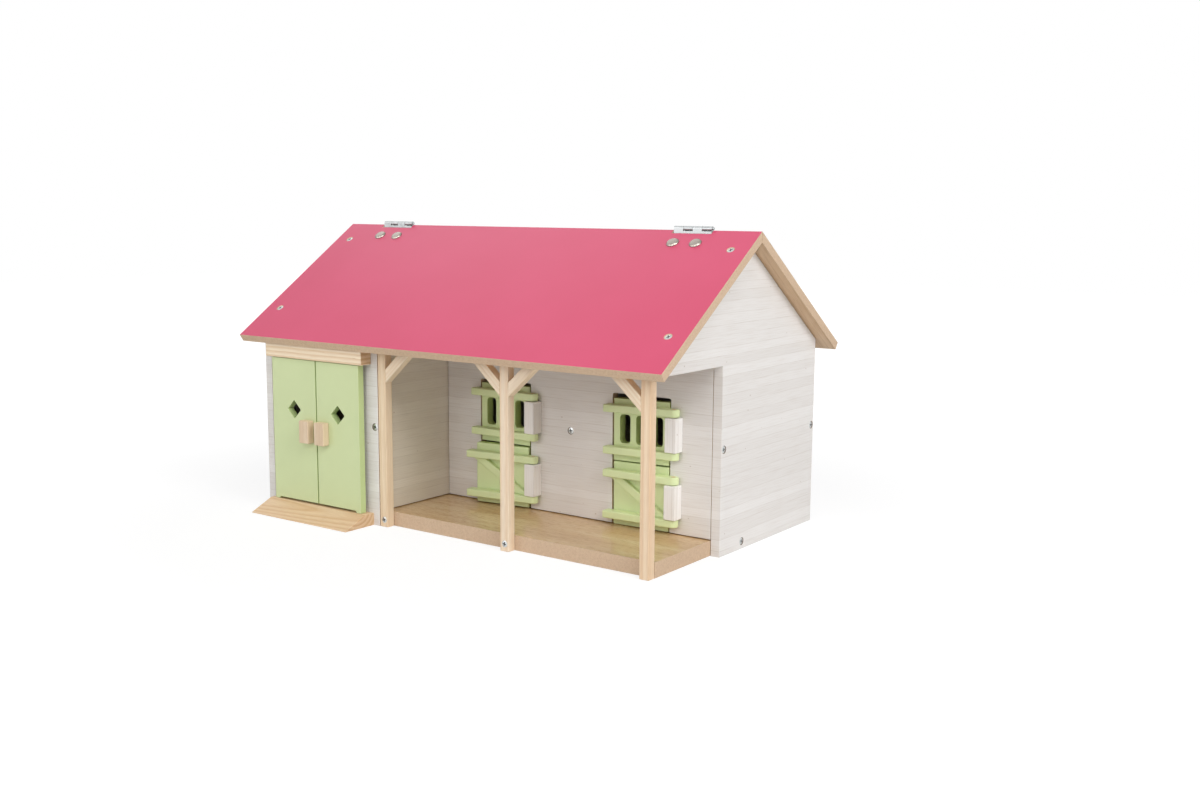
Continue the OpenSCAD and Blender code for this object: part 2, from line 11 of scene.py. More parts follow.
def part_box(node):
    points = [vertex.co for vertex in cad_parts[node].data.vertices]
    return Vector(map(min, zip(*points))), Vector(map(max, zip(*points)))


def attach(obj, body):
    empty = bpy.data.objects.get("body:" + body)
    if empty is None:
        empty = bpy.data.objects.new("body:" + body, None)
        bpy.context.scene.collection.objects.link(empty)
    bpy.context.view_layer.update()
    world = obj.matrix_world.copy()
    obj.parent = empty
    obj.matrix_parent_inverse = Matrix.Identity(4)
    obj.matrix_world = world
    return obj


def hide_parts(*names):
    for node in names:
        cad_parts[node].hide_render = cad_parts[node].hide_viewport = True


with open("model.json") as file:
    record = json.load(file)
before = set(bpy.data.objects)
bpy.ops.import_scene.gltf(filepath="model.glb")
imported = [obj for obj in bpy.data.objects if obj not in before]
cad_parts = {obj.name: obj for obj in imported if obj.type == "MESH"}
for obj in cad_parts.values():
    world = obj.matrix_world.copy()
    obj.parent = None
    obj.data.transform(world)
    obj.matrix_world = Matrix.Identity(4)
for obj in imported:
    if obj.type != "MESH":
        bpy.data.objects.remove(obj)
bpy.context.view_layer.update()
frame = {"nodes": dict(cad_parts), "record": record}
record = frame["record"]
scene = bpy.context.scene
mm = 0.001
print("frame loaded:", len(frame["nodes"]), "nodes")


# Camera, set where the photograph was taken from
camera = {
    "place": (0.8081, -1.0054, 0.3080),
    "azimuth": 35.638,
    "elevation": 8.414,
    "roll": 0.385,
    "lens": 38.99,
}


def makeCamera(view):
    data = bpy.data.cameras.new("camera")
    data.lens = view["lens"]
    data.sensor_width = 36
    data.clip_end = 20
    holder = bpy.data.objects.new("camera", data)
    holder.matrix_world = (
        Matrix.Translation(view["place"])
        @ Matrix.Rotation(math.radians(view["azimuth"]), 4, "Z")
        @ Matrix.Rotation(math.radians(90 - view["elevation"]), 4, "X")
        @ Matrix.Rotation(math.radians(view["roll"]), 4, "Z")
    )
    scene.collection.objects.link(holder)
    scene.camera = holder


makeCamera(camera)
scene.view_settings.view_transform = "Standard"


# Tools for materials
def hexColour(code):
    values = [int(code[i:i + 2], 16) / 255 for i in (1, 3, 5)]
    return [v / 12.92 if v <= 0.04045 else ((v + 0.055) / 1.055) ** 2.4 for v in values] + [1.0]


def addNode(tree, kind, values=None, links=None, stops=None, **settings):
    node = tree.nodes.new("ShaderNode" + kind)
    for name, value in settings.items():
        setattr(node, name, value)
    for socket, value in (values or {}).items():
        node.inputs[socket].default_value = value
    for socket, source in (links or {}).items():
        tree.links.new(source, node.inputs[socket])
    if stops:
        ramp = node.color_ramp
        while len(ramp.elements) < len(stops):
            ramp.elements.new(1)
        for element, (place, code) in zip(ramp.elements, stops):
            element.position = place
            element.color = hexColour(code)
    return node


def newMaterial(name, roughness, metallic=0.0):
    material = bpy.data.materials.new(name)
    material.use_nodes = True
    tree = material.node_tree
    shader = tree.nodes["Principled BSDF"]
    shader.inputs["Roughness"].default_value = roughness
    shader.inputs["Metallic"].default_value = metallic
    place = addNode(tree, "TexCoord").outputs["Object"]
    return material, tree, shader, place


def perMm(size):
    return 1 / (size * mm)  # texture scale whose features are about this many millimetres


def ringScale(size):
    return 2 * math.pi / (20 * size * mm)  # wave texture scale for one ring every size millimetres


# Nodes that several materials share
def stretched(tree, place, scale):
    return addNode(tree, "Mapping", {"Scale": scale}, {"Vector": place}).outputs[0]


def noisy(tree, place, size, detail, stretch=None, output="Fac", **values):
    if stretch:
        place = stretched(tree, place, stretch)
    values = {"Scale": perMm(size), "Detail": detail, **values}
    return addNode(tree, "TexNoise", values, {"Vector": place}).outputs[output]


def graded(tree, share, *stops):
    return addNode(tree, "ValToRGB", links={"Fac": share}, stops=stops).outputs[0]


def ranged(tree, value, start, end, least=0, most=1):
    values = {"From Min": start, "From Max": end, "To Min": least, "To Max": most}
    return addNode(tree, "MapRange", values, {"Value": value}).outputs[0]


def worked(tree, operation, first, second):
    return addNode(tree, "Math", links={0: first, 1: second}, operation=operation).outputs[0]


def shaded(tree, base, shade):
    settings = {"data_type": "RGBA", "blend_type": "MULTIPLY"}
    return addNode(tree, "Mix", {0: 1.0}, {6: base, 7: shade}, **settings).outputs[2]


def spotted(tree, base, share, code):
    return addNode(tree, "Mix", {7: hexColour(code)}, {0: share, 6: base}, data_type="RGBA").outputs[2]


def dress(tree, shader, colour, height, look):
    relief = {"Strength": look["bump"], "Distance": look["rise"] * mm}
    bump = addNode(tree, "Bump", relief, {"Height": height})
    tree.links.new(colour, shader.inputs["Base Color"])
    tree.links.new(bump.outputs[0], shader.inputs["Normal"])


# Planed pine: pale sapwood, soft darker late wood in each year's ring, fine fibres and short resin flecks
# Here and below, sizes are millimetres, and a stretch under 1 draws the marks out along that axis
pine = {
    "early": "#F6E4CB",
    "late": "#EFD8B9",
    "ring": 4,
    "roughness": 0.55,
    "swayEvery": 20,
    "swayStretch": (1, 1, 0.12),
    "sway": 2.6,
    "fibre": 0.6,
    "fibreStretch": (1, 1, 0.03),
    "fibreShade": "#F3EFEA",
    "fleck": "#CBA57C",
    "fleckEvery": 5,
    "fleckStretch": (1, 1, 0.16),
    "fleckMost": 0.5,
    "bump": 0.2,
    "rise": 0.04,
}


def planedPine(name, turn, pith, ring=pine["ring"], early=pine["early"], late=pine["late"]):
    look = pine
    material, tree, shader, place = newMaterial(name, look["roughness"])
    turned = {"Rotation": turn, "Location": [p * mm for p in pith]}
    wood = addNode(tree, "Mapping", turned, {"Vector": place}).outputs[0]
    sway = noisy(tree, wood, look["swayEvery"], 2, look["swayStretch"], "Color")
    centred = addNode(tree, "VectorMath", {1: (0.5, 0.5, 0.5)}, {0: sway}, operation="SUBTRACT")
    swayed = addNode(tree, "VectorMath", {1: [look["sway"] * mm] * 3}, {0: centred.outputs[0], 2: wood},
                     operation="MULTIPLY_ADD")
    rings = addNode(tree, "TexWave", {"Scale": ringScale(ring), "Distortion": 0.4, "Detail": 1},
                    {"Vector": swayed.outputs[0]}, wave_type="RINGS", rings_direction="Z", wave_profile="SAW")
    colour = graded(tree, rings.outputs["Fac"], (0, early), (0.25, early), (0.75, late), (1, early))
    fibres = noisy(tree, wood, look["fibre"], 3, look["fibreStretch"])
    colour = shaded(tree, colour, graded(tree, fibres, (0.3, look["fibreShade"]), (0.6, "#FFFFFF")))
    cells = addNode(tree, "TexVoronoi", {"Scale": perMm(look["fleckEvery"]), "Randomness": 1},
                    {"Vector": stretched(tree, wood, look["fleckStretch"])})
    flecks = ranged(tree, cells.outputs["Distance"], 0.09, 0.03, 0, look["fleckMost"])
    dress(tree, shader, spotted(tree, colour, flecks, look["fleck"]), fibres, look)
    return material


# Whitewashed wood print: melamine paper on fibreboard, with faint broken joints, streaks and small knots
wallPrint = {
    "pale": "#EBE8E5",
    "dull": "#E3DFDB",
    "roughness": 0.5,
    "strip": 9.2,
    "stripUneven": 0.75,
    "waver": 3,
    "waverEvery": 45,
    "waverStretch": (0.3, 1, 1),
    "joint": "#B5A99C",
    "jointWidth": 0.4,
    "jointLeast": 0.08,
    "jointMost": 0.4,
    "breakEvery": 7,
    "breakStretch": (0.22, 1, 1),
    "streak": 0.9,
    "streakStretch": (0.03, 1, 1),
    "streakShade": "#F7F5F3",
    "knot": "#A08A73",
    "knotEvery": 26,
    "knotStretch": (0.7, 1, 1),
    "knotSize": 0.85,
    "knotMost": 0.55,
    "bump": 0.12,
    "rise": 0.04,
}


def whitewashedPrint(name, upright=False, pale=wallPrint["pale"], dull=wallPrint["dull"]):
    look = wallPrint
    material, tree, shader, place = newMaterial(name, look["roughness"])
    parts = addNode(tree, "SeparateXYZ", links={0: place})
    sides = [worked(tree, "ADD", parts.outputs["X"], parts.outputs["Y"]), parts.outputs["Z"]]
    if upright:
        sides.reverse()
    flat = addNode(tree, "CombineXYZ", links={"X": sides[0], "Y": sides[1]}).outputs[0]

    slow = noisy(tree, flat, look["waverEvery"], 2, look["waverStretch"])
    height = addNode(tree, "Math", {1: look["waver"] * mm}, {0: slow, 2: sides[1]}, operation="MULTIPLY_ADD")
    spacing = {"Scale": perMm(look["strip"]), "Randomness": look["stripUneven"]}
    strips, joints = (
        addNode(tree, "TexVoronoi", spacing, {"W": height.outputs[0]}, voronoi_dimensions="1D", feature=kind)
        for kind in ("F1", "DISTANCE_TO_EDGE")
    )
    stripTone = addNode(tree, "SeparateColor", links={0: strips.outputs["Color"]}).outputs[0]
    tone = ranged(tree, worked(tree, "ADD", stripTone, slow), 0.3, 1.3)
    washed = addNode(tree, "Mix", {6: hexColour(pale), 7: hexColour(dull)}, {0: tone}, data_type="RGBA")
    grain = noisy(tree, flat, look["streak"], 3, look["streakStretch"])
    streaks = graded(tree, grain, (0.3, look["streakShade"]), (0.55, "#FFFFFF"))
    colour = shaded(tree, washed.outputs[2], streaks)

    half = look["jointWidth"] / 2 / look["strip"]
    dark = ranged(tree, joints.outputs["Distance"], 2.2 * half, 0.3 * half)
    broken = noisy(tree, flat, look["breakEvery"], 3, look["breakStretch"])
    faded = ranged(tree, broken, 0.36, 0.66, look["jointLeast"], look["jointMost"])
    colour = spotted(tree, colour, worked(tree, "MULTIPLY", dark, faded), look["joint"])

    cells = addNode(tree, "TexVoronoi", {"Scale": perMm(look["knotEvery"]), "Randomness": 1},
                    {"Vector": stretched(tree, flat, look["knotStretch"])}, voronoi_dimensions="2D")
    cellTone = addNode(tree, "SeparateColor", links={0: cells.outputs["Color"]}).outputs[0]
    widest = look["knotSize"] / look["knotEvery"]
    size = addNode(tree, "Math", {1: widest}, {0: cellTone}, operation="MULTIPLY").outputs[0]
    inside = worked(tree, "SUBTRACT", size, cells.outputs["Distance"])
    colour = spotted(tree, colour, ranged(tree, inside, 0, 0.6 * widest, 0, look["knotMost"]), look["knot"])
    dress(tree, shader, colour, grain, look)
    return material


# Raw fibreboard edge: sawn and sanded, matt, speckled with pale and dark fibres
sawnBoard = {
    "roughness": 0.85,
    "clump": 2.2,
    "fibre": 0.6,
    "fibreShade": "#EAE4DC",
    "bump": 0.3,
    "rise": 0.06,
}


def rawFibreboard(name, dark, middle, pale):
    look = sawnBoard
    material, tree, shader, place = newMaterial(name, look["roughness"])
    coarse = noisy(tree, place, look["clump"], 4, Roughness=0.7)
    fine = noisy(tree, place, look["fibre"], 2)
    specks = graded(tree, fine, (0.3, look["fibreShade"]), (0.5, "#FFFFFF"))
    colour = shaded(tree, graded(tree, coarse, (0.3, dark), (0.5, middle), (0.72, pale)), specks)
    dress(tree, shader, colour, fine, look)
    return material


# Beech print melamine: bands and fine pores along the grain, glossy on the floor and duller under the roof
beechFloor = {
    "tones": ("#CDAB80", "#D6B68A", "#DDC197"),
    "roughness": 0.2,
    "band": 9,
    "bandStretch": (1, 1, 0.06),
    "pore": 0.8,
    "poreStretch": (1, 1, 0.12),
    "poreShade": "#E3D8C9",
}
beechLining = dict(beechFloor, tones=("#C3A27D", "#CAAA86", "#D0B28F"), roughness=0.4,
                   poreStretch=(1, 1, 0.02), poreShade="#EDE5DB")


def beechMelamine(name, turn, look):
    material, tree, shader, place = newMaterial(name, look["roughness"])
    wood = addNode(tree, "Mapping", {"Rotation": turn}, {"Vector": place}).outputs[0]
    bands = noisy(tree, wood, look["band"], 3, look["bandStretch"])
    pores = noisy(tree, wood, look["pore"], 2, look["poreStretch"])
    poreShade = graded(tree, pores, (0.34, look["poreShade"]), (0.5, "#FFFFFF"))
    colour = shaded(tree, graded(tree, bands, *zip((0.3, 0.5, 0.7), look["tones"])), poreShade)
    tree.links.new(colour, shader.inputs["Base Color"])
    return material


# Pink melamine: an even colour under a satin face pressed with a very fine pebble
pinkRoof = {
    "deep": "#D6446B",
    "pale": "#DA4870",
    "roughness": 0.36,
    "cloud": 90,
    "pebble": 0.9,
    "bump": 0.12,
    "rise": 0.03,
}


def pinkMelamine(name):
    look = pinkRoof
    material, tree, shader, place = newMaterial(name, look["roughness"])
    cloud = noisy(tree, place, look["cloud"], 2)
    pebble = noisy(tree, place, look["pebble"], 2)
    dress(tree, shader, graded(tree, cloud, (0.3, look["deep"]), (0.7, look["pale"])), pebble, look)
    return material


# Green acrylic paint, sprayed on fibreboard: even, satin, with a slight orange peel
acrylic = {"roughness": 0.42, "cloud": 30, "peel": 1.6, "bump": 0.2, "rise": 0.06}


def greenPaint(name, deep, pale):
    look = acrylic
    material, tree, shader, place = newMaterial(name, look["roughness"])
    cloud = noisy(tree, place, look["cloud"], 3)
    peel = noisy(tree, place, look["peel"], 2)
    dress(tree, shader, graded(tree, cloud, (0.3, deep), (0.7, pale)), peel, look)
    return material


# Zinc plated steel: cool grey with a fine uneven sheen, brighter on the screws than on the rolled hinges
zincSheen = {"smooth": 0.24, "dull": 0.42}


def zincPlate(name, dark, bright, grain):
    material, tree, shader, place = newMaterial(name, zincSheen["smooth"], metallic=1.0)
    spangle = noisy(tree, place, grain, 3)
    sheen = ranged(tree, spangle, 0.3, 0.7, zincSheen["smooth"], zincSheen["dull"])
    tree.links.new(graded(tree, spangle, (0.3, dark), (0.7, bright)), shader.inputs["Base Color"])
    tree.links.new(sheen, shader.inputs["Roughness"])
    return material


# Nickel plated steel: warmer and smoother than zinc, with faint turning marks
capNickel = {
    "dark": "#958D85",
    "bright": "#A59D94",
    "roughness": 0.26,
    "haze": 0.8,
    "bump": 0.1,
    "rise": 0.02,
}


def nickelPlate(name):
    look = capNickel
    material, tree, shader, place = newMaterial(name, look["roughness"], metallic=1.0)
    haze = noisy(tree, place, look["haze"], 3)
    dress(tree, shader, graded(tree, haze, (0.3, look["dark"]), (0.7, look["bright"])), haze, look)
    return material


# Turns that lay a material's own Z axis along the grain
roofSlope = math.radians(34.7)
braceSlope = math.radians(42)
quarter = math.pi / 2
grainUp = (0, 0, 0)
grainAcross = (0, -quarter, 0)
rampTilt = 0.06
grainRamp = (0, rampTilt - quarter, 0)
grainBackRoof = (quarter + roofSlope, 0, 0)
grainFrontRoof = (-quarter - roofSlope, 0, 0)
grainBraceRight = (0, braceSlope - quarter, 0)
grainBraceLeft = (0, quarter - braceSlope, 0)

fibreboard = rawFibreboard("rawFibreboard", "#C9AD90", "#D1B69A", "#D9C0A4")
# Painted shade: a dark copy of the bare board for the cones of the screw holes, where shade falls round the sunk
# heads
holeShadeBoard = rawFibreboard("rawFibreboardDrilled", "#5E4C3C", "#6B5745", "#7A6450")
wallFace = whitewashedPrint("whitewashedPrint")
# Painted light: a warmer copy of the wall print for the partition, standing in for warm bounce light in the
# porch's shade
shadeWarmedInnerFace = whitewashedPrint("whitewashedPrintInner", pale="#E8E1D4", dull="#DFD7C9")
blockFace = whitewashedPrint("whitewashedPrintUpright", True, "#F4F2EF", "#EEEBE7")
floorFace = beechMelamine("beechMelamineFloor", grainAcross, beechFloor)
pinkFace = pinkMelamine("pinkMelamine")
storagePaint = greenPaint("greenPaintStorage", "#CCD8A5", "#CFDBA8")
storageCut = greenPaint("greenPaintStorageCut", "#BDCF91", "#C0D294")
# Painted light: the stall doors take a brighter copy of the same green, lifting them out of the porch's shade
stallPaintLit = greenPaint("greenPaintStall", "#D9E6B0", "#DCE9B3")
stallCut = greenPaint("greenPaintStallCut", "#BECE86", "#C1D189")
zincScrew = zincPlate("zincPlateScrew", "#BEC1C0", "#DADCDB", 1.5)
# Painted shade: a dark copy of the zinc for the screws' cross recesses
zincRecessShade = zincPlate("zincPlateRecess", "#5E6061", "#747677", 1.5)
zincSheet = zincPlate("zincPlateSheet", "#B0B3B4", "#C0C3C4", 5)
nickel = nickelPlate("nickelPlate")
dowelWood = planedPine("turnedBeech", grainUp, (2, 3, 0), 1.2, "#E2C297", "#D2AB7C")
print("materials made")


# Tools for pieces
bodies = record["behaviour"]["bodies"]
slotOf = {part["node"]: part["material_slot"] for part in record["subparts"]}
bodyOf = {node: body for body, nodes in bodies.items() for node in nodes}
weldGap = 0.002 * mm  # corners nearer than this are made one
sideSlack = 0.02 * mm  # a corner this near to a side lies on it
flatTurn = math.radians(0.5)
sharpTurn = math.radians(28)
rimTurn = math.radians(35)


def camelName(node):
    words = node.split("_")
    return words[0] + "".join(word.title() for word in words[1:])


def addPiece(name, shape, body, materials):
    bmesh.ops.recalc_face_normals(shape, faces=shape.faces[:])
    mesh = bpy.data.meshes.new(name)
    shape.to_mesh(mesh)
    shape.free()
    mesh.shade_smooth()
    for material in materials:
        mesh.materials.append(material)
    piece = bpy.data.objects.new(name, mesh)
    scene.collection.objects.link(piece)
    shading = piece.modifiers.new("evenNormals", "WEIGHTED_NORMAL")
    shading.keep_sharp = True
    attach(piece, body)
    return piece


def sharpEdges(shape, smallest):
    edges = {e for e in shape.edges if len(e.link_faces) == 2 and e.calc_face_angle(0) > sharpTurn}
    kept = []
    while edges:  # follows each run of edges, and leaves out the rims of small holes
        run = [edges.pop()]
        for edge in run:
            for vert in edge.verts:
                more = [e for e in vert.link_edges if e in edges]
                edges.difference_update(more)
                run.extend(more)
        corners = [vert.co for edge in run for vert in edge.verts]
        reach = max(max(c[i] for c in corners) - min(c[i] for c in corners) for i in range(3))
        if reach > smallest * mm:
            kept.extend(run)
    return kept


jointAt = {joint["name"]: joint["pos_m"] for joint in record["behaviour"]["joints"]}
rightDowel = jointAt["right_upper_hinge"][0]  # the right stall doors sag away from their dowels


def softenNode(node, edge, materials, paint=None, steps=2, smallest=9, trims=(), rim=0, sag=0):
    shape = bmesh.new()
    shape.from_mesh(frame["nodes"][node].data)
    bmesh.ops.remove_doubles(shape, verts=shape.verts[:], dist=weldGap)
    bmesh.ops.dissolve_limit(shape, angle_limit=flatTurn, verts=shape.verts[:], edges=shape.edges[:])
    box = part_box(node)
    for axis, side, amount in trims:  # leaves an open joint beside a neighbour
        for vert in shape.verts:
            if abs(vert.co[axis] - box[side][axis]) < sideSlack:
                vert.co[axis] += (1 - 2 * side) * amount * mm
    for vert in shape.verts:
        vert.co.z += sag * (vert.co.x - rightDowel)
    for face in shape.faces:
        face.material_index = paint(face.normal) if paint else 0
    bmesh.ops.bevel(shape, geom=sharpEdges(shape, smallest), offset=edge * mm, offset_type="OFFSET",
                    affect="EDGES", segments=steps, profile=0.5, material=rim, clamp_overlap=True)
    piece = addPiece(camelName(node), shape, bodyOf[node], materials)
    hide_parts(node)
    return piece


# How far a face's normal leans towards an axis, where it counts as the board's face, as a square edge,
# as the cone of a drilled hole, and as a face rather than a cut in a door
faceLean = 0.9
edgeLean = 0.99
drilledLean = 0.6
cutLean = 0.5

# Boards: the walls, the floor and the two roof panels. Each wall has its face, the axis of its thickness,
# whether its edges are banded, and its trims: an axis, the low or high side, and millimetres
boards = {"wallEdge": 0.4, "floorEdge": 0.4, "roofEdge": 0.35, "wallHole": 8, "roofHole": 6}
low, high = 0, 1
walls = {
    "gable_left": (wallFace, 0, True, ()),
    "gable_right": (wallFace, 0, True, ()),
    "storage_wall": (wallFace, 1, False, ((0, low, 0.6), (0, high, 0.3))),
    "partition_wall": (shadeWarmedInnerFace, 0, False, ((2, low, 0.9),)),
    "stall_wall": (wallFace, 1, False, ((0, low, 0.5), (0, high, 0.6), (2, low, 0.9))),
    "stall_divider": (wallFace, 0, False, ((2, low, 0.3),)),
    "back_wall": (wallFace, 1, False, ((0, low, 0.2), (0, high, 0.2))),
}

for node, (face, thin, banded, trims) in walls.items():
    def printed(normal):  # bare board on cut edges, unless banded, and painted shade on the cones of drilled holes
        if abs(normal[thin]) > faceLean:
            return 1
        if abs(normal[thin]) > drilledLean:
            return 2
        return int(banded and max(abs(c) for c in normal) > edgeLean)

    softenNode(node, boards["wallEdge"], [fibreboard, face, holeShadeBoard], printed,
               smallest=boards["wallHole"], trims=trims, rim=1)

softenNode("floor_board", boards["floorEdge"], [fibreboard, floorFace], lambda n: int(abs(n.z) > faceLean),
           trims=((0, high, 0.6), (1, low, 0.4)))

for node, facing, turn in (("roof_front", -1, grainFrontRoof), ("roof_back", 1, grainBackRoof)):
    outward = Vector((0, facing * math.sin(roofSlope), math.cos(roofSlope)))
    lining = beechMelamine(camelName(node) + "Lining", turn, beechLining)

    def roofFace(normal):
        lean = normal.dot(outward)
        return 1 if lean > faceLean else 2 if lean < -faceLean else 0

    softenNode(node, boards["roofEdge"], [fibreboard, pinkFace, lining], roofFace,
               smallest=boards["roofHole"])
print("boards rounded")


# Pine: posts, braces, beam, lintel, ramp and door handles, each sawn from its own stick
# Each has the way its grain runs, the place of its pith, the width of a ring, and any tones of its own, apart
# from the porch beam, whose orange is painted warm bounce light
sticks = {
    "post_left": (grainUp, (118, 131, 0), 6.0, "#F0DABD", "#E9CFAD"),
    "post_middle": (grainUp, (-40, 160, 0), 5.6, "#F1DEC6", "#ECD2B3"),
    "post_right": (grainUp, (-190, 118, 0), 6.4, "#EFD7BA", "#E4C4A0"),
    "brace_left": (grainBraceRight, (30, 120, 0), 3.4),
    "brace_middle_left": (grainBraceLeft, (40, 145, 0), 3.8),
    "brace_middle_right": (grainBraceRight, (60, 150, 0), 4.0),
    "brace_right": (grainBraceLeft, (-35, 140, 0), 3.6),
    # Painted light: the porch beam's orange tones stand in for warm light bounced between the wood and the pink
    # roof in its shade
    "porch_beam": (grainAcross, (-150, 120, 0), 3.0, "#F7BA7C", "#EBA462"),
    "lintel": (grainAcross, (-150, 120, 0), 4.2, "#F6E4CA", "#E6CAA4"),
    "ramp": (grainRamp, (26, 152, 0), 4.6, "#EACDAB", "#DDB88E"),
    "storage_handle_left": (grainUp, (170, 120, 0), 1.6, "#E3CDB2", "#DAC1A3"),
    "storage_handle_right": (grainUp, (140, 118, 0), 1.8, "#E3CDB2", "#DAC1A3"),
}
stickEdge = 0.8
endTones = ("#DDBF9A", "#CBA47B")

for node, (turn, pith, ring, *tones) in sticks.items():
    sawn = [planedPine(camelName(node) + "Pine", turn, pith, ring, *tones)]
    lying = turn in (grainAcross, grainRamp)
    if lying:  # the ends in sight are darker
        sawn.append(planedPine(camelName(node) + "EndGrain", turn, pith, ring, *endTones))
    softenNode(node, stickEdge, sawn, (lambda n: int(abs(n.x) > faceLean)) if lying else None)
print("pine rounded")


# Painted doors: leaves, battens and slanted strips, with a rounded edge that was routed before painting
# The right doors hang a little low at their free edges: sag is the drop for each millimetre from the dowel
painted = {
    "leafEdge": 1.0,
    "battenEdge": 1.2,
    "stripEdge": 0.8,
    "steps": 3,
    "sag": {"upper": 0.02, "lower": 0.012},
}


def cutFace(normal):  # the paint is deeper where the board is cut, round the windows and at the edges
    return int(abs(normal.y) < cutLean)


for side in ("left", "right"):
    softenNode(f"storage_door_{side}", painted["leafEdge"], [storagePaint, storageCut], cutFace,
               steps=painted["steps"])
for side in ("left", "right"):
    for level in ("upper", "lower"):
        finish = {"steps": painted["steps"], "sag": painted["sag"][level] if side == "right" else 0}
        softenNode(f"{side}_{level}_leaf", painted["leafEdge"], [stallPaintLit, stallCut], cutFace, **finish)
        for row in ("low", "top"):
            softenNode(f"{side}_{level}_batten_{row}", painted["battenEdge"], [stallPaintLit], **finish)
        softenNode(f"{side}_{level}_block", stickEdge, [blockFace])
    softenNode(f"{side}_lower_strip", painted["stripEdge"], [stallPaintLit], sag=finish["sag"])
print("doors painted")


# Hinges, pins, nuts and dowels keep their own shapes
for node, piece in frame["nodes"].items():
    if slotOf[node] in ("zinc", "dowel_wood"):
        for place in range(len(piece.material_slots)):
            piece.material_slots[place].material = dowelWood if slotOf[node] == "dowel_wood" else zincSheet


# Screws and bolts: one is turned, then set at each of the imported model's own places
screw = {
    "rim": 3.1,
    "edge": 0.3,
    "shank": 1.6,
    "cone": 1.9,
    "length": 23,
    "tip": 24.4,
    "dome": 0.4,
    "sunk": 0.45,
    "armLength": 1.9,
    "armWidth": 0.95,
    "deep": 1.4,
    "taper": 0.45,
    "sides": 32,
}
widerScrew = dict(screw, rim=3.2, sunk=0.5)  # in the walls and posts
bolt = {
    "height": 1.8,
    "shank": 2.0,
    "length": 13.2,
    "sides": 48,
    "cap": ((0, 1.8), (4.5, 1.79), (4.9, 1.7), (5.8, 0.8), (5.97, 0.5), (6.0, 0.2), (6.0, 0)),
}


def turnShape(profile, sides):
    shape = bmesh.new()
    verts = [shape.verts.new((r * mm, 0, z * mm)) for r, z in profile]
    edges = [shape.edges.new(pair) for pair in zip(verts, verts[1:])]
    bmesh.ops.spin(shape, geom=verts + edges, cent=(0, 0, 0), axis=(0, 0, 1), angle=2 * math.pi,
                   steps=sides, use_merge=True)
    bmesh.ops.remove_doubles(shape, verts=shape.verts[:], dist=weldGap)
    return shape


def makeScrew(size):
    rim, shank = size["rim"], size["shank"]
    shape = turnShape(((rim, 0), (rim, -size["edge"]), (shank, -size["edge"] - size["cone"]),
                       (shank, -size["length"]), (0, -size["tip"])), size["sides"])
    top = [e for e in shape.edges if e.is_boundary]
    reach, half = size["armLength"], size["armWidth"] / 2
    arm = ((reach, -half), (reach, half), (half, half))
    corners = [(x * c - y * s, x * s + y * c) for c, s in ((1, 0), (0, 1), (-1, 0), (0, -1)) for x, y in arm]
    cross = [shape.verts.new((x * mm, y * mm, size["dome"] * mm)) for x, y in corners]
    arms = [shape.edges.new((a, b)) for a, b in zip(cross, cross[1:] + cross[:1])]
    bmesh.ops.triangle_fill(shape, edges=top + arms, use_beauty=True)
    pocket = [f for f in shape.faces if all(v in cross for v in f.verts)
              and min(abs(c) for c in f.calc_center_median()[:2]) < half * mm]
    bmesh.ops.delete(shape, geom=pocket, context="FACES_ONLY")
    sunk = bmesh.ops.extrude_edge_only(shape, edges=arms)["geom"]
    bottom = [item for item in sunk if isinstance(item, bmesh.types.BMVert)]
    bmesh.ops.scale(shape, verts=bottom, vec=(size["taper"], size["taper"], 1))
    bmesh.ops.translate(shape, verts=bottom, vec=(0, 0, -size["deep"] * mm))
    bmesh.ops.edgeloop_fill(shape, edges=[e for e in sunk if isinstance(e, bmesh.types.BMEdge)
                                          and all(v in bottom for v in e.verts)])
    # The cross recess takes the second material, dark zinc that is painted shade in the recess
    for vert in bottom:
        for face in vert.link_faces:
            face.material_index = 1
    bmesh.ops.recalc_face_normals(shape, faces=shape.faces[:])
    return shape


def headSpots(node, outward):
    shape = bmesh.new()
    shape.from_mesh(frame["nodes"][node].data)
    bmesh.ops.remove_doubles(shape, verts=shape.verts[:], dist=weldGap)
    left, spots = set(shape.verts), []
    while left:
        run = [left.pop()]
        for vert in run:
            near = [e.other_vert(vert) for e in vert.link_edges if e.other_vert(vert) in left]
            left.difference_update(near)
            run.extend(near)
        centre = sum((v.co for v in run), Vector()) / len(run)
        way = Vector(outward(centre)).normalized()
        top = max(v.co.dot(way) for v in run)
        rim = [v.co for v in run if v.co.dot(way) > top - sideSlack]
        spots.append((sum(rim, Vector()) / len(rim), way))
    shape.free()
    return sorted(spots, key=lambda spot: tuple(round(c, 4) for c in spot[0]))


def setShapes(node, one, spots, lift, materials):
    random.seed(node)
    mesh = bpy.data.meshes.new("one")
    one.to_mesh(mesh)
    one.free()
    shape = bmesh.new()
    for centre, way in spots:
        old = len(shape.verts)
        shape.from_mesh(mesh)
        shape.verts.ensure_lookup_table()
        upright = way.to_track_quat("Z", "Y").to_matrix().to_4x4()
        spin = Matrix.Rotation(random.uniform(0, math.pi), 4, "Z")
        place = Matrix.Translation(centre + way * lift * mm) @ upright @ spin
        bmesh.ops.transform(shape, matrix=place, verts=shape.verts[old:])
    bpy.data.meshes.remove(mesh)
    piece = addPiece(camelName(node), shape, bodyOf[node], materials)
    piece.data.set_sharp_from_angle(angle=rimTurn)
    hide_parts(node)


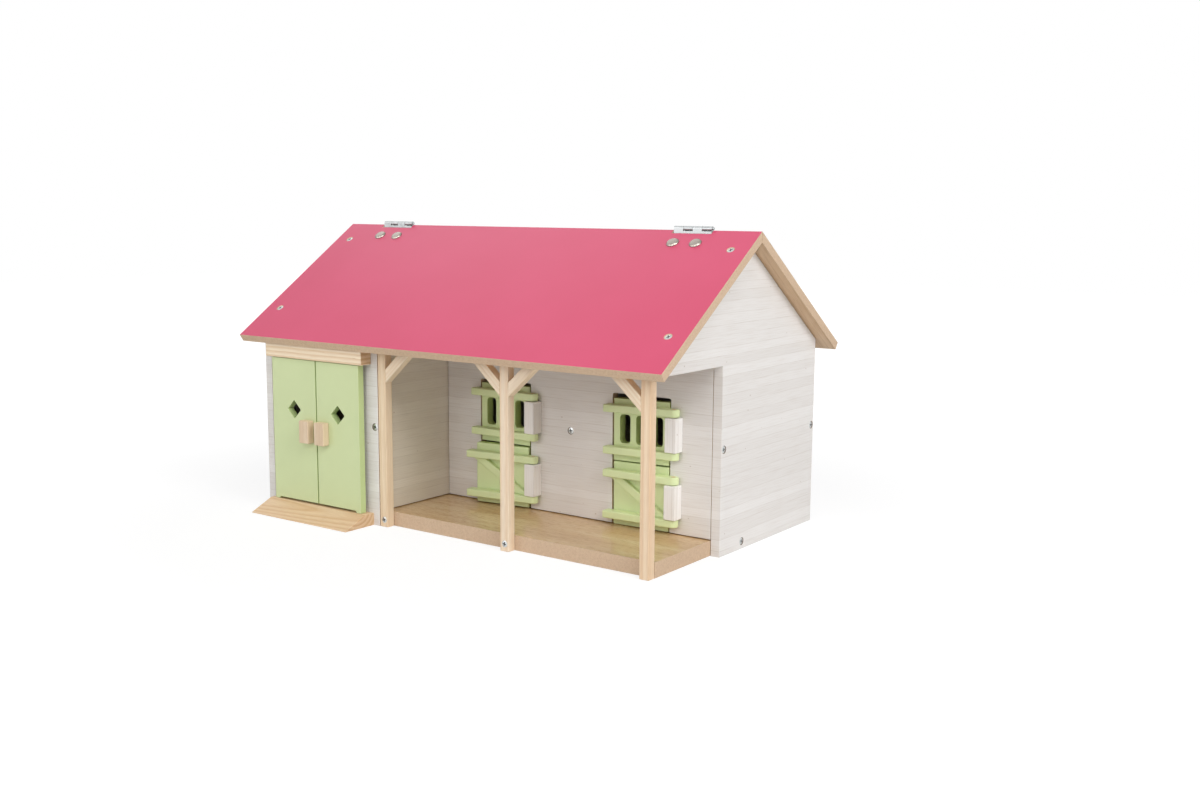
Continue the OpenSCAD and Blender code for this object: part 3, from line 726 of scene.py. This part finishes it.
roofUp = {
    "front": (0, -math.sin(roofSlope), math.cos(roofSlope)),
    "back": (0, math.sin(roofSlope), math.cos(roofSlope)),
}
screwWays = {
    "roof_screws": lambda c: roofUp["front"],
    "gable_screws": lambda c: (c.x, 0, 0),
    "wall_screws": lambda c: (0, c.y, 0),
    "post_screws": lambda c: (0, -1, 0),
}
for node, outward in screwWays.items():
    size = screw if node == "roof_screws" else widerScrew
    setShapes(node, makeScrew(size), headSpots(node, outward), -size["sunk"], [zincScrew, zincRecessShade])
for side in ("front", "back"):
    node = "bolts_" + side
    spots = headSpots(node, lambda c: roofUp[side])
    profile = bolt["cap"] + ((bolt["shank"], 0), (bolt["shank"], -bolt["length"]), (0, -bolt["length"]))
    setShapes(node, turnShape(profile, bolt["sides"]), spots, -bolt["height"], [nickel])
print("fittings finished")


# Room: a pale floor, soft lamps and a plain white surround, in metres apart from the floor's drop in millimetres
room = {
    "floorSize": 8,
    "floorDrop": 0.2,
    "floorTone": "#F4F4F4",
    "floorGlow": 1.12,
    "shadowShare": 0.3,
    "fadeFrom": 0.35,
    "fadeTo": 0.9,
    "ambient": 0.2,
    "skyTone": "#F6F6F8",
    "aim": (0, 0, 0.12),
    "lamps": {
        "right": {"place": (2.4, -0.6, 1.6), "size": 1.2, "power": 35},
        "rightFront": {"place": (1.6, -1.6, 2.2), "size": 1.4, "power": 21},
        "front": {"place": (0.3, -2.6, 1.4), "size": 1.6, "power": 17},
        "leftFront": {"place": (-1.4, -2.4, 1.0), "size": 1.6, "power": 11},
        "left": {"place": (-2.2, -1.2, 1.2), "size": 1.6, "power": 3},
        "sheen": {"place": (-1.28, 0.88, 1.6), "size": 1.2, "power": 3},
        "behind": {"place": (0.3, 2.6, 1.2), "size": 1.6, "power": 12},
    },
}


def mostOf(tree, rays, first, second):
    return worked(tree, "MAXIMUM", rays.outputs[first], rays.outputs[second])


def plainSurround(look):
    world = bpy.data.worlds.new("room")
    world.use_nodes = True
    scene.world = world
    tree = world.node_tree
    tree.nodes.clear()
    rays = addNode(tree, "LightPath")
    mirrored = mostOf(tree, rays, "Is Camera Ray", "Is Glossy Ray")
    seen = worked(tree, "MAXIMUM", mirrored, rays.outputs["Is Transmission Ray"])
    soft = addNode(tree, "Background", {"Color": hexColour(look["skyTone"]), "Strength": look["ambient"]})
    white = addNode(tree, "Background", {"Color": (1, 1, 1, 1), "Strength": 1})
    either = addNode(tree, "MixShader", links={0: seen, 1: soft.outputs[0], 2: white.outputs[0]})
    addNode(tree, "OutputWorld", links={"Surface": either.outputs[0]})


# Pale floor: white for the camera, apart from the barn's soft shadow, which fades out away from the barn
def paleFloor(look):
    material = bpy.data.materials.new("paleFloor")
    material.use_nodes = True
    tree = material.node_tree
    tree.nodes.clear()
    place = addNode(tree, "TexCoord").outputs["Object"]
    away = addNode(tree, "VectorMath", links={0: place}, operation="LENGTH").outputs["Value"]
    glowShare = ranged(tree, away, look["fadeFrom"], look["fadeTo"], 1 - look["shadowShare"])
    seen = mostOf(tree, addNode(tree, "LightPath"), "Is Camera Ray", "Is Glossy Ray")
    share = worked(tree, "MULTIPLY", seen, glowShare)
    matt = addNode(tree, "BsdfDiffuse", {"Color": hexColour(look["floorTone"])})
    glow = addNode(tree, "Emission", {"Color": (1, 1, 1, 1), "Strength": look["floorGlow"]})
    both = addNode(tree, "MixShader", links={0: share, 1: matt.outputs[0], 2: glow.outputs[0]})
    addNode(tree, "OutputMaterial", links={"Surface": both.outputs[0]})
    return material


def makeRoom(look):
    plainSurround(look)

    shape = bmesh.new()
    bmesh.ops.create_grid(shape, x_segments=1, y_segments=1, size=look["floorSize"] / 2)
    mesh = bpy.data.meshes.new("paleFloor")
    shape.to_mesh(mesh)
    shape.free()
    mesh.materials.append(paleFloor(look))
    floor = bpy.data.objects.new("paleFloor", mesh)
    scene.collection.objects.link(floor)
    floor.location.z = -look["floorDrop"] * mm

    for name, lamp in look["lamps"].items():
        data = bpy.data.lights.new(name, "AREA")
        data.shape = "DISK"
        data.size = lamp["size"]
        data.energy = lamp["power"]
        holder = bpy.data.objects.new(name, data)
        scene.collection.objects.link(holder)
        holder.location = lamp["place"]
        aim = Vector(look["aim"]) - Vector(lamp["place"])
        holder.rotation_euler = aim.to_track_quat("-Z", "Y").to_euler()


makeRoom(room)
print("room made")
